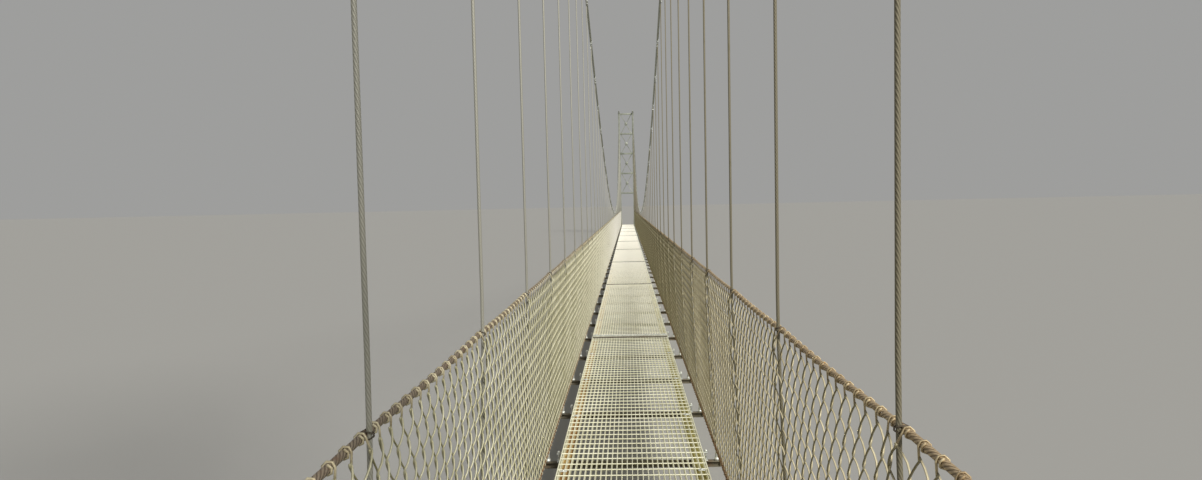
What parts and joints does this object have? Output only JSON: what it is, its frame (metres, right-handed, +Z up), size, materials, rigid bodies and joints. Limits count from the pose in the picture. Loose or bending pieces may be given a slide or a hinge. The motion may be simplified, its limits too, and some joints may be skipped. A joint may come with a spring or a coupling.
{
  "type": "steel wire-rope suspension footbridge, 1:2 scale model",
  "caption": "Narrow footbridge hung from two steel wire ropes between portal towers, with a steel grating deck and chain-link sides; half-size model.",
  "frame": {"origin": "centre of the bridge at mid-span, on the level floor under it", "axes": "+Y along the deck from the near end to the far end, +X to the right of someone walking that way, +Z up"},
  "size_m": [1.4, 39.9, 4.7133],
  "materials": {
    "concrete": "weathered cast concrete",
    "tower_steel": "dull galvanised and weathered",
    "castings": "dull with light rust",
    "main_rope": "weathered galvanised wire rope",
    "hanger_rope": "weathered galvanised wire rope, tan on the rail",
    "chain_link": "dull galvanised wire with a green-brown film",
    "grating": "worn galvanised bars",
    "deck_steel": "weathered, tan and rust-stained"
  },
  "bodies": {
    "root": {"near_abutment": "concrete", "far_abutment": "concrete", "near_left_anchor_block": "concrete", "near_right_anchor_block": "concrete", "far_left_anchor_block": "concrete", "far_right_anchor_block": "concrete", "near_tower_frame": "tower_steel", "far_tower_frame": "tower_steel", "near_left_column": "tower_steel", "near_right_column": "tower_steel", "far_left_column": "tower_steel", "far_right_column": "tower_steel", "near_left_saddle": "castings", "near_right_saddle": "castings", "far_left_saddle": "castings", "far_right_saddle": "castings", "near_left_anchor_fitting": "castings", "near_right_anchor_fitting": "castings", "far_left_anchor_fitting": "castings", "far_right_anchor_fitting": "castings", "left_main_cable": "main_rope", "right_main_cable": "main_rope", "left_hangers_1": "hanger_rope", "left_hangers_2": "hanger_rope", "left_hangers_3": "hanger_rope", "right_hangers_1": "hanger_rope", "right_hangers_2": "hanger_rope", "right_hangers_3": "hanger_rope", "left_chain_link_1": "chain_link", "left_chain_link_2": "chain_link", "right_chain_link_1": "chain_link", "right_chain_link_2": "chain_link", "deck_frame_1": "deck_steel", "deck_frame_2": "deck_steel", "deck_frame_3": "deck_steel", "grating_panel_1": "grating", "grating_panel_2": "grating", "grating_panel_3": "grating", "grating_panel_4": "grating", "grating_panel_5": "grating", "grating_panel_6": "grating", "grating_panel_7": "grating", "grating_panel_8": "grating", "grating_panel_9": "grating", "grating_panel_10": "grating", "grating_panel_11": "grating"}
  },
  "joints": []
}
